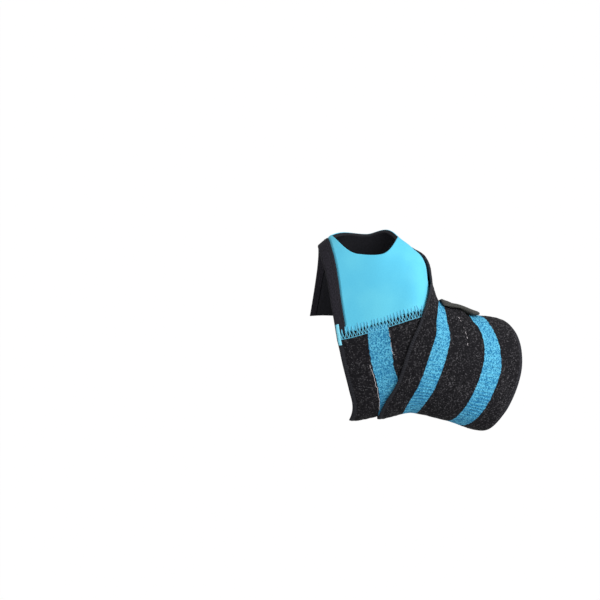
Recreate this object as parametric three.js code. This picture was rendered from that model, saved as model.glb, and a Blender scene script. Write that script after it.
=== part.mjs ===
// A wrist wrap as it is worn: thumb panel, edge binding, striped elastic strap and hook tab.
// Millimetres. +X runs along the forearm towards the elbow, +Z to the thumb side, +Y to the back
// of the hand, and the origin is the middle of the wrist.
import * as THREE from "three";

// Driving sizes.
const REACH = 100; // wrist to the knuckle end of the thumb panel
const HALF_BREADTH = 26; // of the wrist, to the thumb side
const HALF_DEPTH = 20; // of the wrist, to the back
const BEND_DEG = 32; // the hand is bent back at the wrist
const BEND_START = 0.14 * REACH;
const BEND_END = -0.42 * REACH;
const HEEL_FULLNESS = 2.3; // squareness of the little-finger half of a section

const PANEL_THICK = 2.4;
const PANEL_RIM_THICK = 1.0; // where the binding squeezes it
const STRAP_THICK = 1.8;
const TAB_THICK = 1.5;
const BINDING_THICK = 1.0;
const BINDING_WIDTH = 5.6;
const STRIP_WIDTH = 84; // at the thumb hole, used to place the binding
const LAYER_GAP = 0.5;
const BRIDGE_RISE = 0.6;
const TAB_STAND = 0.2; // the hooks hold the tab off the strap
const TAB_RISE = 0.2; // more of it at the free end
const PART_GAP = 0.3;
const EDGE_SOFT = 5; // how far past a layer's edge what lies on it takes to come down
const TAB_SOFT = 7; // the stiff tab comes down more slowly

const PANEL_START = -78; // turn of the panel's free end, degrees about the wrist
const SEAM = 70.5; // turn of the sewn joint of panel and strap
const STRAP_FINISH = 655;
const TAB_START = 634;
const TAB_FINISH = 744;
const TAB_ROUNDED = 9; // turn over which its corners round off
const TAB_LIFTED = 14; // turn over which its free end stands up

// The thumb hole, a leaning oval on the panel.
const HOLE = { angle: 9, halfAngle: 39.2, lean: 1, along: -0.719 * REACH, half: 0.17 * REACH };
const HOLE_FULLNESS = { palmWrist: 3.6, palmFinger: 2.1, backWrist: 1.7, backFinger: 2.1 };

// The hand and wrist that the wrap is worn on: sections along the bent centre line. `along` is a
// share of REACH, `thumb` and `heel` are shares of HALF_BREADTH, `palm` and `back` of HALF_DEPTH.
const SECTION_COLUMNS = ["along", "thumb", "heel", "palm", "back", "fullness"];
const SECTIONS = [
  [-1.08, 1.31, 1.73, 0.65, 0.67, 2.5],
  [-0.96, 1.79, 1.72, 0.69, 0.7, 2.6],
  [-0.88, 2.15, 1.69, 0.73, 0.71, 2.8],
  [-0.8, 2.38, 1.66, 0.78, 0.72, 2.9],
  [-0.7, 2.5, 1.62, 0.85, 0.74, 2.9],
  [-0.62, 2.51, 1.61, 0.9, 0.75, 2.9],
  [-0.54, 2.32, 1.5, 0.95, 0.77, 2.8],
  [-0.46, 2.16, 1.36, 0.98, 0.79, 2.8],
  [-0.38, 1.89, 1.21, 1.02, 0.82, 2.7],
  [-0.34, 1.43, 1.13, 1.03, 0.84, 2.6],
  [-0.29, 1.11, 1.06, 1.05, 0.88, 2.5],
  [-0.2, 1.01, 1.04, 1.05, 0.93, 2.3],
  [-0.14, 1.035, 1.055, 1.035, 0.955, 2.25],
  [-0.06, 1.035, 1.075, 1.02, 0.98, 2.2],
  [0.08, 1.075, 1.14, 1.02, 1, 2.2],
  [0.22, 1.1, 1.21, 1.02, 1, 2.2],
  [0.4, 1.15, 1.27, 1.05, 1.02, 2.2],
];

// The course of the whole strip round the hand, panel and strap in one. Angles are degrees about
// the centre line (0 thumb side, 90 palm, 180 little-finger side, 270 back), counted on over the
// turns. `distal` and `proximal` place its two edges along the hand and `lead` moves its middle,
// all as shares of REACH; `bow` swings its middle round.
const COURSE_COLUMNS = [
  "turn", "distalAngle", "distal", "proximalAngle", "proximal", "bow", "lead",
];
const COURSE = [
  [-78, -78, -0.95, -78, -0.44, 0, 0],
  [-50, -50, -0.955, -54, -0.42, 0, 0],
  [-25, -22, -0.955, -32, -0.37, 0, 0],
  [5, 12, -0.95, -8, -0.3, 0, 0.005],
  [30, 42, -0.92, 8, -0.23, 0, 0.015],
  [52, 68, -0.834, 22, -0.17, 4, 0.03],
  [74, 90.5, -0.742, 34, -0.13, 7, 0.05],
  [92, 106, -0.69, 62, -0.02, 6, 0.025],
  [110, 124, -0.63, 84, 0.04, 3, 0.01],
  [135, 142, -0.593, 115, 0.09, 1, 0],
  [172, 178, -0.605, 162, 0.12, 0, 0],
  [220, 226, -0.58, 212, 0.13, 0, 0],
  [270, 272, -0.555, 262, 0.14, 0, 0],
  [308, 313, -0.54, 300, 0.135, 0, 0],
  [330, 334, -0.525, 322, 0.13, 0, -0.01],
  [345, 342, -0.455, 340, 0.125, 0, -0.028],
  [356, 350, -0.385, 354, 0.13, 0, -0.046],
  [370, 367, -0.352, 370, 0.136, 0, -0.061],
  [388, 387, -0.352, 388, 0.148, 0, -0.061],
  [402, 402, -0.347, 402, 0.166, 0, -0.059],
  [422, 422, -0.342, 422, 0.186, 0, -0.041],
  [445, 445, -0.362, 445, 0.197, 0, -0.031],
  [480, 480, -0.386, 480, 0.178, 0, -0.027],
  [508, 508, -0.44, 508, 0.155, 0, -0.012],
  [540, 540, -0.465, 540, 0.13, 0, 0],
  [590, 590, -0.47, 590, 0.125, 0, 0],
  [630, 630, -0.46, 630, 0.12, 0, 0],
  [680, 680, -0.42, 680, 0.11, 0, 0],
  [710, 713, -0.39, 707, 0.09, 0, 0],
  [740, 747, -0.37, 733, 0.076, 0, 0],
  [770, 777, -0.36, 763, 0.07, 0, 0],
];

// The seam leans: how many degrees of turn further on it lies, by share across.
const SEAM_LEAN = [[0, 0.5], [0.25, 2], [0.45, 1.8], [0.55, 0], [0.65, -3.5], [0.76, -5.6], [1, -6]];
const SEAM_REACH = 25; // degrees of turn either side in which the strip's lines lean with it

const radians = THREE.MathUtils.degToRad;
const mix = THREE.MathUtils.lerp;
const between = (value, low, high) => Math.min(Math.max(value, low), high);
const rise = (x) => THREE.MathUtils.smoothstep(x, 0, 1);
const steps = (count) => Array.from({ length: count + 1 }, (_, k) => k / count);

// Smooth curves through the rows of a table, whose first column is the one looked up.
function lookup(rows, x) {
  const last = rows.length - 1;
  const at = between(x, rows[0][0], rows[last][0]);
  let k = 0;
  while (k < last - 1 && rows[k + 1][0] <= at) k += 1;
  const slope = (i, c) => (rows[i + 1][c] - rows[i][c]) / (rows[i + 1][0] - rows[i][0]);
  const tangent = (i, c) =>
    (slope(Math.max(i - 1, 0), c) + slope(Math.min(i, last - 1), c)) / 2;
  const span = rows[k + 1][0] - rows[k][0];
  const s = (at - rows[k][0]) / span;
  return rows[k].map((value, c) =>
    c === 0
      ? at
      : (1 + 2 * s) * (1 - s) ** 2 * value +
        s * (1 - s) ** 2 * span * tangent(k, c) +
        s * s * (3 - 2 * s) * rows[k + 1][c] +
        s * s * (s - 1) * span * tangent(k + 1, c),
  );
}

function named(rows, columns, x) {
  const values = lookup(rows, x);
  return Object.fromEntries(columns.map((name, c) => [name, values[c]]));
}

// The bent centre line: where it is, and how far the section there has turned.
function centreLine(along) {
  const radius = (BEND_START - BEND_END) / radians(BEND_DEG);
  const turned = (BEND_START - between(along, BEND_END, BEND_START)) / radius;
  const beyond = Math.max(along - BEND_START, 0);
  const short = Math.min(along - BEND_END, 0);
  return {
    x: BEND_START - radius * Math.sin(turned) + beyond + short * Math.cos(turned),
    y: radius * (1 - Math.cos(turned)) - short * Math.sin(turned),
    turned,
  };
}

// A point of the hand's skin at an angle in degrees and a distance along the centre line.
function skin(angle, along) {
  const section = named(SECTIONS, SECTION_COLUMNS, along / REACH);
  const c = Math.cos(radians(angle));
  const s = Math.sin(radians(angle));
  const power = c > 0 ? section.fullness : HEEL_FULLNESS;
  const out = (Math.abs(c) ** power + Math.abs(s) ** power) ** (-1 / power);
  const z = out * c * HALF_BREADTH * (c > 0 ? section.thumb : section.heel);
  const deep = -out * s * HALF_DEPTH * (s > 0 ? section.palm : section.back);
  const { x, y, turned } = centreLine(along);
  return new THREE.Vector3(x + deep * Math.sin(turned), y + deep * Math.cos(turned), z);
}

// A point at a height over the skin, measured square to it.
function over(angle, along, height) {
  const round = skin(angle + 1, along).sub(skin(angle - 1, along));
  const lengthways = skin(angle, along + 0.5).sub(skin(angle, along - 0.5));
  const square = round.cross(lengthways).normalize();
  return skin(angle, along).addScaledVector(square, height);
}

// A place on the strip: `nominal` says how far round it is, but for the lean near the seam, and
// `across` runs 0 to 1 from its distal edge.
function strip(nominal, across) {
  const near = 1 - rise(Math.abs(nominal - SEAM) / SEAM_REACH);
  const turn = nominal + near * lookup(SEAM_LEAN, across)[1];
  const c = named(COURSE, COURSE_COLUMNS, turn);
  const hump = 4 * across * (1 - across);
  return {
    angle: mix(c.distalAngle, c.proximalAngle, across) + c.bow * hump,
    along: REACH * (mix(c.distal, c.proximal, across) + c.lead * hump),
  };
}

const column = (name) => COURSE_COLUMNS.indexOf(name);
const EDGES = ["distal", "proximal"].map((edge) =>
  COURSE.map((row) => [row[column(edge + "Angle")], REACH * row[column(edge)]]),
);
const SEAM_LINE = steps(20).map((across) => {
  const place = strip(SEAM, across);
  return [place.along, place.angle];
});

// How fully the strip's layer at this angle lies under a place: 1 on it and just beside it,
// falling to 0 a little further out.
function cover(angle, along, finish, soft) {
  const [distal, proximal] = EDGES.map((edge) => lookup(edge, angle)[1]);
  const fade = (beside) => 1 - rise((beside - 1.5) / soft);
  const started = rise((angle - PANEL_START + 8) / 5);
  const finished = 1 - rise((angle - finish - 3) / 7);
  return fade(distal - along) * fade(along - proximal) * started * finished;
}

// Where the strap spans the hollow beside the thumb's root in place of following it down.
function bridge(angle, along) {
  const bump = (from, middle, spread) => 1 - rise(Math.abs(from - middle) / spread);
  const thumbSide = ((angle + 176) % 360) - 180;
  return bump(along, -0.31 * REACH, 0.15 * REACH) * bump(thumbSide, 0, 80);
}

// The height of a place over the skin: what the layers below it add up to.
function base(angle, along, firstBelow = 1, soft = EDGE_SOFT) {
  let height = 0;
  for (let below = firstBelow; angle - 360 * below > PANEL_START - 8; below += 1) {
    const lower = angle - 360 * below;
    const pastSeam = rise((lower - lookup(SEAM_LINE, along)[1] - 2) / 6);
    const thick = mix(PANEL_THICK, STRAP_THICK, pastSeam);
    height += cover(lower, along, STRAP_FINISH, soft) * (thick + LAYER_GAP);
  }
  return height + BRIDGE_RISE * bridge(angle, along);
}

// A closed slab between an outer and an inner grid of points. The rows run one way and the
// columns the other; `round` joins the last column to the first.
function slab(name, outer, inner, material, round = false) {
  const rows = outer.length;
  const columns = outer[0].length;
  const points = [...outer.flat(), ...inner.flat()];
  const at = (side, i, j) => side * rows * columns + i * columns + (j % columns);
  const faces = [];
  const quad = (a, b, c, d) => {
    const shorter = points[a].distanceTo(points[c]) <= points[b].distanceTo(points[d]);
    faces.push(...(shorter ? [a, b, c, a, c, d] : [a, b, d, b, c, d]));
  };
  const spans = round ? columns : columns - 1;
  for (let j = 0; j < spans; j += 1) {
    for (let i = 0; i < rows - 1; i += 1) {
      quad(at(0, i, j), at(0, i + 1, j), at(0, i + 1, j + 1), at(0, i, j + 1));
      quad(at(1, i, j), at(1, i, j + 1), at(1, i + 1, j + 1), at(1, i + 1, j));
    }
    quad(at(0, 0, j), at(0, 0, j + 1), at(1, 0, j + 1), at(1, 0, j));
    const end = rows - 1;
    quad(at(0, end, j), at(1, end, j), at(1, end, j + 1), at(0, end, j + 1));
  }
  if (!round)
    for (let i = 0; i < rows - 1; i += 1) {
      quad(at(0, i, 0), at(1, i, 0), at(1, i + 1, 0), at(0, i + 1, 0));
      const side = columns - 1;
      quad(at(0, i, side), at(0, i + 1, side), at(1, i + 1, side), at(1, i, side));
    }
  const geometry = new THREE.BufferGeometry().setFromPoints(points).setIndex(faces);
  geometry.computeVertexNormals();
  const mesh = new THREE.Mesh(geometry, material);
  mesh.name = name;
  return mesh;
}

const fabric = (color, roughness = 0.85) =>
  new THREE.MeshStandardMaterial({ color, roughness, metalness: 0 });

// Thumb panel: rings of points from the thumb hole out to the edge, which passes the knuckle
// side, the seam, the wrist side and the free end in turn.
function thumbPanel() {
  const inset = (BINDING_THICK + PART_GAP) / STRIP_WIDTH;
  const squeezed = BINDING_WIDTH / STRIP_WIDTH;
  const clear = squeezed + 0.012; // where the panel is back at its full thickness
  const finish = SEAM - 0.9;
  const acrosses = (count) => [inset, squeezed, ...steps(count).map((s) => mix(clear, 1, s))];
  const outline = [
    ...steps(28).slice(0, -1).map((s) => [mix(PANEL_START, finish, s), inset]),
    ...acrosses(17).slice(0, -1).map((across) => [finish, across]),
    ...steps(26).slice(0, -1).map((s) => [mix(finish, PANEL_START, s), 1]),
    ...acrosses(10).reverse().slice(0, -1).map((across) => [PANEL_START, across]),
  ];
  const ringAt = (least) =>
    outline.map(([turn, across]) => {
      const by = least - inset;
      const kept = between(across, least, 1 - by);
      const round = between(turn, PANEL_START + 60 * by, finish - 60 * by);
      return { ...strip(round, kept), thin: kept <= squeezed };
    });
  const edge = ringAt(inset);
  const shoulder = ringAt(clear);
  const rim = edge.map((place) => {
    const towards = Math.atan2(place.angle - HOLE.angle, place.along - HOLE.along);
    const c = Math.cos(towards);
    const s = Math.sin(towards);
    const full = HOLE_FULLNESS;
    const [wrist, finger] = s > 0 ? [full.palmWrist, full.palmFinger] : [full.backWrist, full.backFinger];
    const power = c > 0 ? wrist : finger;
    const out = (Math.abs(c) ** power + Math.abs(s) ** power) ** (-1 / power);
    return {
      angle: HOLE.angle + out * (HOLE.halfAngle * s + HOLE.lean * c),
      along: HOLE.along + out * HOLE.half * c,
    };
  });
  const rings = [0, 0.09, 0.22, 0.38, 0.55, 0.7, 0.82, 0.91, 1].map((share) =>
    rim.map((place, k) => ({
      angle: mix(place.angle, shoulder[k].angle, share),
      along: mix(place.along, shoulder[k].along, share),
    })),
  );
  rings.push(ringAt(squeezed), edge);
  const [outer, inner] = [0, 1].map((side) =>
    rings.map((ring) =>
      ring.map((place) => {
        const trim = place.thin ? (PANEL_THICK - PANEL_RIM_THICK) / 2 : 0;
        return over(place.angle, place.along, side ? trim : PANEL_THICK - trim);
      }),
    ),
  );
  return slab("thumb_panel", outer, inner, fabric("#5cc6ee"), true);
}

// Binding: a tape folded over the panel's knuckle edge, from under it to over it.
function edgeBinding() {
  const middle = PANEL_THICK / 2;
  const slot = PANEL_RIM_THICK / 2 + PART_GAP;
  const wall = slot + BINDING_THICK;
  const profile = [
    [BINDING_WIDTH, -wall, -slot],
    [BINDING_WIDTH / 2, -wall, -slot],
    [0.6, -wall, -slot],
    [0, -0.6 * wall, -0.5 * slot],
    [0, 0.6 * wall, 0.5 * slot],
    [0.6, wall, slot],
    [BINDING_WIDTH / 2, wall, slot],
    [BINDING_WIDTH, wall, slot],
  ];
  const stations = steps(42).map((s) => mix(PANEL_START, SEAM - 1, s));
  const [outer, inner] = [0, 1].map((side) =>
    stations.map((turn) =>
      profile.map(([from, outerHeight, innerHeight]) => {
        const across = (side ? Math.max(from, BINDING_THICK) : from) / STRIP_WIDTH;
        const place = strip(turn, across);
        return over(place.angle, place.along, middle + (side ? innerHeight : outerHeight));
      }),
    ),
  );
  return slab("edge_binding", outer, inner, fabric("#26242a"));
}

// Strap: from the seam, round the hand and wrist nearly twice, each turn lying on the last.
function elasticStrap() {
  const places = [
    0, 0.04, 0.085, 0.13, 0.18, 0.235, 0.3, 0.38, 0.47, 0.56, 0.65, 0.74, 0.83, 0.92, 1,
  ];
  const stations = steps(98).map((s) => mix(SEAM, STRAP_FINISH, s));
  const [outer, inner] = [STRAP_THICK, 0].map((height) =>
    stations.map((turn) =>
      places.map((across) => {
        const place = strip(turn, across);
        return over(place.angle, place.along, base(place.angle, place.along) + height);
      }),
    ),
  );
  return slab("elastic_strap", outer, inner, fabric("#2b2930"));
}

// Hook tab: sewn on the strap's end and pressed on to the layer below, with rounded corners.
function hookTab() {
  const [near, far] = [0.22, 0.78];
  const corner = 0.16;
  const stations = [
    ...steps(16).map((s) => mix(TAB_START, TAB_FINISH - TAB_ROUNDED, s)),
    ...[0.45, 0.78, 0.95, 1].map((s) => mix(TAB_FINISH - TAB_ROUNDED, TAB_FINISH, s)),
  ];
  const shrink = (turn) => {
    const s = between((turn - TAB_FINISH + TAB_ROUNDED) / TAB_ROUNDED, 0, 1);
    return corner * (far - near) * (1 - Math.sqrt(1 - s * s));
  };
  const [outer, inner] = [TAB_THICK, 0].map((height) =>
    stations.map((turn) =>
      steps(8).map((s) => {
        const place = strip(turn, mix(near + shrink(turn), far - shrink(turn), s));
        const lift = TAB_STAND + TAB_RISE * rise((turn - TAB_FINISH + TAB_LIFTED) / TAB_LIFTED);
        const under = base(place.angle, place.along, 0, TAB_SOFT);
        return over(place.angle, place.along, under + lift + height);
      }),
    ),
  );
  return slab("hook_tab", outer, inner, fabric("#3c3b3b", 0.6));
}

const group = new THREE.Group();
group.name = "wrist_wrap";
group.add(thumbPanel(), edgeBinding(), elasticStrap(), hookTab());
export default group;
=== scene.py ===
"""A right-handed wrist wrap in its wound shape: a light-blue thumb panel with a bound edge, sewn to
a black elastic strap with two blue stripes that winds round nearly twice, to a hook tab.

The pieces are height fields over the former that the wrap is wound on. Sizes are millimetres until
a mesh is made. +X runs to the proximal, cuff end, +Z to the side of the thumb hole, +Y to the back,
where the hook tab is fastened. -Y is the palm side.
"""
import math

import bpy
import numpy as np
from mathutils import Matrix, Vector


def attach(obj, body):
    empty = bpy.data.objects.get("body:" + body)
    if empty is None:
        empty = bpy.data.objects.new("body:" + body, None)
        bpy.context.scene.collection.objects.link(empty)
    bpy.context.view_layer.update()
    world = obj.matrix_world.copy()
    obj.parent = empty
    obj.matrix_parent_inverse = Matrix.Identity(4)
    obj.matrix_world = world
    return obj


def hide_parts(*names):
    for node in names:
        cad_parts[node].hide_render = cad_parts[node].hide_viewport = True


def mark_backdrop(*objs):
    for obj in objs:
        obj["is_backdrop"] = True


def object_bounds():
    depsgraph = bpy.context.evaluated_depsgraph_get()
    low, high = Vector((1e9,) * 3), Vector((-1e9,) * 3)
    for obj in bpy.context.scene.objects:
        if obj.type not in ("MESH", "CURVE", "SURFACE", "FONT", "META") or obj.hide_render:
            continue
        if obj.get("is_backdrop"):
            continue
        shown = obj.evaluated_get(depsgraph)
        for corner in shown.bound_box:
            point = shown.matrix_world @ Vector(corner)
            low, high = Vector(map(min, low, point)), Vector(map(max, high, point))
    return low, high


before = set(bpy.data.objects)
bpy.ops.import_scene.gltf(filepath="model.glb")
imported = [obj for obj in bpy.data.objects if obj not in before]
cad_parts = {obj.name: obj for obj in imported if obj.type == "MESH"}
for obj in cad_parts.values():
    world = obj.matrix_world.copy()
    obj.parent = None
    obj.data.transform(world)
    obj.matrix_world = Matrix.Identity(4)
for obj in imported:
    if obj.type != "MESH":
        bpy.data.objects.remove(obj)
cad_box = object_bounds()

MM = 0.001
REACH = 100.0
HALF_BREADTH = 26.0
HALF_DEPTH = 20.0
BEND = math.radians(32.0)
BEND_START, BEND_END = 0.14 * REACH, -0.42 * REACH
FAR_FULLNESS = 2.3  # squareness of the half across from the thumb side

PANEL_THICK, PANEL_RIM_THICK, STRAP_THICK, TAB_THICK = 2.4, 1.0, 1.8, 1.5
BINDING_THICK, BINDING_WIDTH, STRIP_WIDTH = 1.0, 5.6, 84.0
LAYER_GAP, PART_GAP, BRIDGE_RISE, TAB_STAND, TAB_RISE = 0.5, 0.3, 0.6, 0.2, 0.2
EDGE_SOFT, TAB_SOFT = 5.0, 7.0
COVER_MARGIN = 1.5  # mm outside its edges up to which a layer still lifts the next one in full
LEAD_IN, LEAD_IN_SOFT = 6.0, 5.0  # degrees before the panel's free end where it starts to lift
RUN_OUT, RUN_OUT_SOFT = 3.0, 7.0  # degrees past the strap's end where it stops
STEP_IN, STEP_SOFT = 2.0, 6.0  # degrees past the seam where the layer thins from panel to strap
BRIDGE_ANGLE, BRIDGE_ROUND = 4.0, 80.0  # degrees: where the bridged hollow is and how far it reaches
BRIDGE_ALONG, BRIDGE_LONG = -0.31 * REACH, 0.15 * REACH

PANEL_START, SEAM, STRAP_FINISH = -78.0, 70.5, 655.0
TAB_START, TAB_FINISH, TAB_NEAR, TAB_FAR = 634.0, 744.0, 0.22, 0.78
JOINT = 0.1  # turn between the panel's cut edge and the strap's

HOLE = {"angle": 9.0, "half_angle": 39.2, "lean": 1.0, "along": -71.9, "half": 17.0}
HOLE_FULLNESS = {"palm_proximal": 3.6, "palm_distal": 2.1, "back_proximal": 1.7, "back_distal": 2.1}

# along (shares of REACH), half-sizes to the thumb side and across from it (of HALF_BREADTH) and to
# the palm side and the back (of HALF_DEPTH), fullness of the thumb half
SECTIONS = np.array([
    (-1.08, 1.31, 1.73, 0.65, 0.67, 2.5),
    (-0.96, 1.79, 1.72, 0.69, 0.70, 2.6),
    (-0.88, 2.15, 1.69, 0.73, 0.71, 2.8),
    (-0.80, 2.38, 1.66, 0.78, 0.72, 2.9),
    (-0.70, 2.50, 1.62, 0.85, 0.74, 2.9),
    (-0.62, 2.51, 1.61, 0.90, 0.75, 2.9),
    (-0.54, 2.32, 1.50, 0.95, 0.77, 2.8),
    (-0.46, 2.16, 1.36, 0.98, 0.79, 2.8),
    (-0.38, 1.89, 1.21, 1.02, 0.82, 2.7),
    (-0.34, 1.43, 1.13, 1.03, 0.84, 2.6),
    (-0.29, 1.11, 1.06, 1.05, 0.88, 2.5),
    (-0.20, 1.01, 1.04, 1.05, 0.93, 2.3),
    (-0.14, 1.035, 1.055, 1.035, 0.955, 2.25),
    (-0.06, 1.035, 1.075, 1.02, 0.98, 2.2),
    (0.08, 1.075, 1.14, 1.02, 1.00, 2.2),
    (0.22, 1.10, 1.21, 1.02, 1.00, 2.2),
    (0.40, 1.15, 1.27, 1.05, 1.02, 2.2),
])

# turn, distal angle, distal, proximal angle, proximal, bow, lead
COURSE = np.array([
    (-78, -78, -0.95, -78, -0.44, 0, 0),
    (-50, -50, -0.955, -54, -0.42, 0, 0),
    (-25, -22, -0.955, -32, -0.37, 0, 0),
    (5, 12, -0.95, -8, -0.30, 0, 0.005),
    (30, 42, -0.92, 8, -0.23, 0, 0.015),
    (52, 68, -0.834, 22, -0.17, 4, 0.03),
    (74, 90.5, -0.742, 34, -0.13, 7, 0.05),
    (92, 106, -0.69, 62, -0.02, 6, 0.025),
    (110, 124, -0.63, 84, 0.04, 3, 0.01),
    (135, 142, -0.593, 115, 0.09, 1, 0),
    (172, 178, -0.605, 162, 0.12, 0, 0),
    (220, 226, -0.58, 212, 0.13, 0, 0),
    (270, 272, -0.555, 262, 0.14, 0, 0),
    (308, 313, -0.54, 300, 0.135, 0, 0),
    (330, 334, -0.525, 322, 0.13, 0, -0.01),
    (345, 342, -0.455, 340, 0.125, 0, -0.028),
    (356, 350, -0.385, 354, 0.13, 0, -0.046),
    (370, 367, -0.352, 370, 0.136, 0, -0.061),
    (388, 387, -0.352, 388, 0.148, 0, -0.061),
    (402, 402, -0.347, 402, 0.166, 0, -0.059),
    (422, 422, -0.342, 422, 0.186, 0, -0.041),
    (445, 445, -0.362, 445, 0.197, 0, -0.031),
    (480, 480, -0.386, 480, 0.178, 0, -0.027),
    (508, 508, -0.44, 508, 0.155, 0, -0.012),
    (540, 540, -0.465, 540, 0.13, 0, 0),
    (590, 590, -0.47, 590, 0.125, 0, 0),
    (630, 630, -0.46, 630, 0.12, 0, 0),
    (680, 680, -0.42, 680, 0.11, 0, 0),
    (710, 713, -0.39, 707, 0.09, 0, 0),
    (740, 747, -0.37, 733, 0.076, 0, 0),
    (770, 777, -0.36, 763, 0.07, 0, 0),
], dtype=float)

# share across, and how many degrees of turn further on the seam lies there
SEAM_LEAN = np.array([(0, 0.6), (0.1, 1.1), (0.25, 1.4), (0.4, 1.8), (0.46, 1.9), (0.52, 1), (0.57, -1.2),
                      (0.62, -4.6), (0.68, -7), (0.8, -7), (1, -6)])
SEAM_REACH = 25.0

# ---------------------------------------------------------------- camera

VIEW_YAW, VIEW_ROLL = math.radians(32.0), math.radians(11.5)
VIEW_DISTANCE, VIEW_WIDTH = 0.900, 0.336  # metres, and metres across the picture at that distance


def make_camera():
    """Level with the wrap and 32 degrees round from square to its palm side, rolled 11.5 degrees."""
    sideways = Vector((math.cos(VIEW_YAW), -math.sin(VIEW_YAW), 0))
    ahead = Vector((math.sin(VIEW_YAW), math.cos(VIEW_YAW), 0))
    eye = -VIEW_DISTANCE * ahead
    aim = (-0.1008 * sideways + Vector((0, 0, 0.0178)) - eye).normalized()
    right = aim.cross(Vector((0, 0, 1))).normalized()
    up = right.cross(aim)
    c, s = math.cos(VIEW_ROLL), math.sin(VIEW_ROLL)
    axes = (right * c + up * s, up * c - right * s, -aim)
    data = bpy.data.cameras.new("view")
    data.lens = data.sensor_width * VIEW_DISTANCE / VIEW_WIDTH
    camera = bpy.data.objects.new("view", data)
    camera.matrix_world = Matrix.Translation(eye) @ Matrix(axes).transposed().to_4x4()
    bpy.context.scene.collection.objects.link(camera)
    bpy.context.scene.camera = camera


make_camera()

# ---------------------------------------------------------------- the former it is wound on


def rise(x):
    """0 up to x = 0, then the cubic s-curve 3x2 - 2x3, and 1 from x = 1 on."""
    x = np.clip(x, 0.0, 1.0)
    return x * x * (3 - 2 * x)


def mix(a, b, share):
    """a where the share is 0, b where it is 1, straight between."""
    return a + (b - a) * share


def lookup(rows, x):
    """Smooth curves through a table's rows: cubic pieces whose slope at a row is the mean of the
    straight slopes on its two sides. The first column is the one looked up."""
    xs, ys = rows[:, 0], rows[:, 1:]
    slopes = (ys[1:] - ys[:-1]) / (xs[1:] - xs[:-1])[:, None]
    tangents = np.vstack([slopes[:1], (slopes[1:] + slopes[:-1]) / 2, slopes[-1:]])
    at = np.clip(np.asarray(x, float), xs[0], xs[-1])
    k = np.clip(np.searchsorted(xs, at, side="right") - 1, 0, len(xs) - 2)
    span = (xs[k + 1] - xs[k])[..., None]
    s = (at - xs[k])[..., None] / span
    curve = (1 + 2 * s) * (1 - s) ** 2 * ys[k] + s * (1 - s) ** 2 * span * tangents[k]
    curve += s * s * (3 - 2 * s) * ys[k + 1] + s * s * (s - 1) * span * tangents[k + 1]
    return [curve[..., c] for c in range(ys.shape[1])]


def former(angle, along):
    """A point of the former: a rounded section with its own half-size to each of four sides,
    scaled out by (|cos|^n + |sin|^n)^(-1/n), on a centre line bent back on an arc."""
    thumb, far, palm, back, fullness = lookup(SECTIONS, along / REACH)
    c, s = np.cos(np.radians(angle)), np.sin(np.radians(angle))
    power = np.where(c > 0, fullness, FAR_FULLNESS)
    out = (np.abs(c) ** power + np.abs(s) ** power) ** (-1 / power)
    z = out * c * HALF_BREADTH * np.where(c > 0, thumb, far)
    deep = -out * s * HALF_DEPTH * np.where(s > 0, palm, back)
    radius = (BEND_START - BEND_END) / BEND
    turned = (BEND_START - np.clip(along, BEND_END, BEND_START)) / radius
    beyond, short = np.maximum(along - BEND_START, 0), np.minimum(along - BEND_END, 0)
    x = BEND_START - radius * np.sin(turned) + beyond + short * np.cos(turned)
    y = radius * (1 - np.cos(turned)) - short * np.sin(turned)
    return np.stack([x + deep * np.sin(turned), y + deep * np.cos(turned), z], -1)


def over(angle, along, height):
    """The former's point moved out by a height along the cross product of its two directions.
    Returns the point and that direction."""
    angle, along, height = np.broadcast_arrays(*(np.asarray(v, float) for v in (angle, along, height)))
    around = former(angle + 1, along) - former(angle - 1, along)
    lengthways = former(angle, along + 0.5) - former(angle, along - 0.5)
    square = np.cross(around, lengthways)
    square /= np.linalg.norm(square, axis=-1, keepdims=True)
    return former(angle, along) + square * height[..., None], square


def strip(turn, across):
    """Angle and distance along the former at a place on the strip: straight between its two edges,
    plus the table's bow and lead times the hump 4a(1 - a). Near the seam the turn leans with it."""
    turn, across = np.broadcast_arrays(np.asarray(turn, float), np.asarray(across, float))
    turn = turn + (1 - rise(np.abs(turn - SEAM) / SEAM_REACH)) * lookup(SEAM_LEAN, across)[0]
    distal_angle, distal, proximal_angle, proximal, bow, lead = lookup(COURSE, turn)
    hump = 4 * across * (1 - across)
    angle = mix(distal_angle, proximal_angle, across) + bow * hump
    return angle, REACH * (mix(distal, proximal, across) + lead * hump)


DISTAL_EDGE = COURSE[:, 1:3] * (1, REACH)
PROXIMAL_EDGE = COURSE[:, 3:5] * (1, REACH)
SEAM_LINE = np.stack(strip(SEAM, np.linspace(0, 1, 21))[::-1], 1)


def cover(angle, along, finish, soft):
    """How fully the strip lies under a place: 1 on it and to 1.5 mm outside, then falling to 0 on
    an s-curve, both beside it and past its two ends."""
    (distal,), (proximal,) = lookup(DISTAL_EDGE, angle), lookup(PROXIMAL_EDGE, angle)
    fade = [1 - rise((beside - COVER_MARGIN) / soft) for beside in (distal - along, along - proximal)]
    started = rise((angle - PANEL_START + LEAD_IN) / LEAD_IN_SOFT)
    return fade[0] * fade[1] * started * (1 - rise((angle - finish - RUN_OUT) / RUN_OUT_SOFT))


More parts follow.
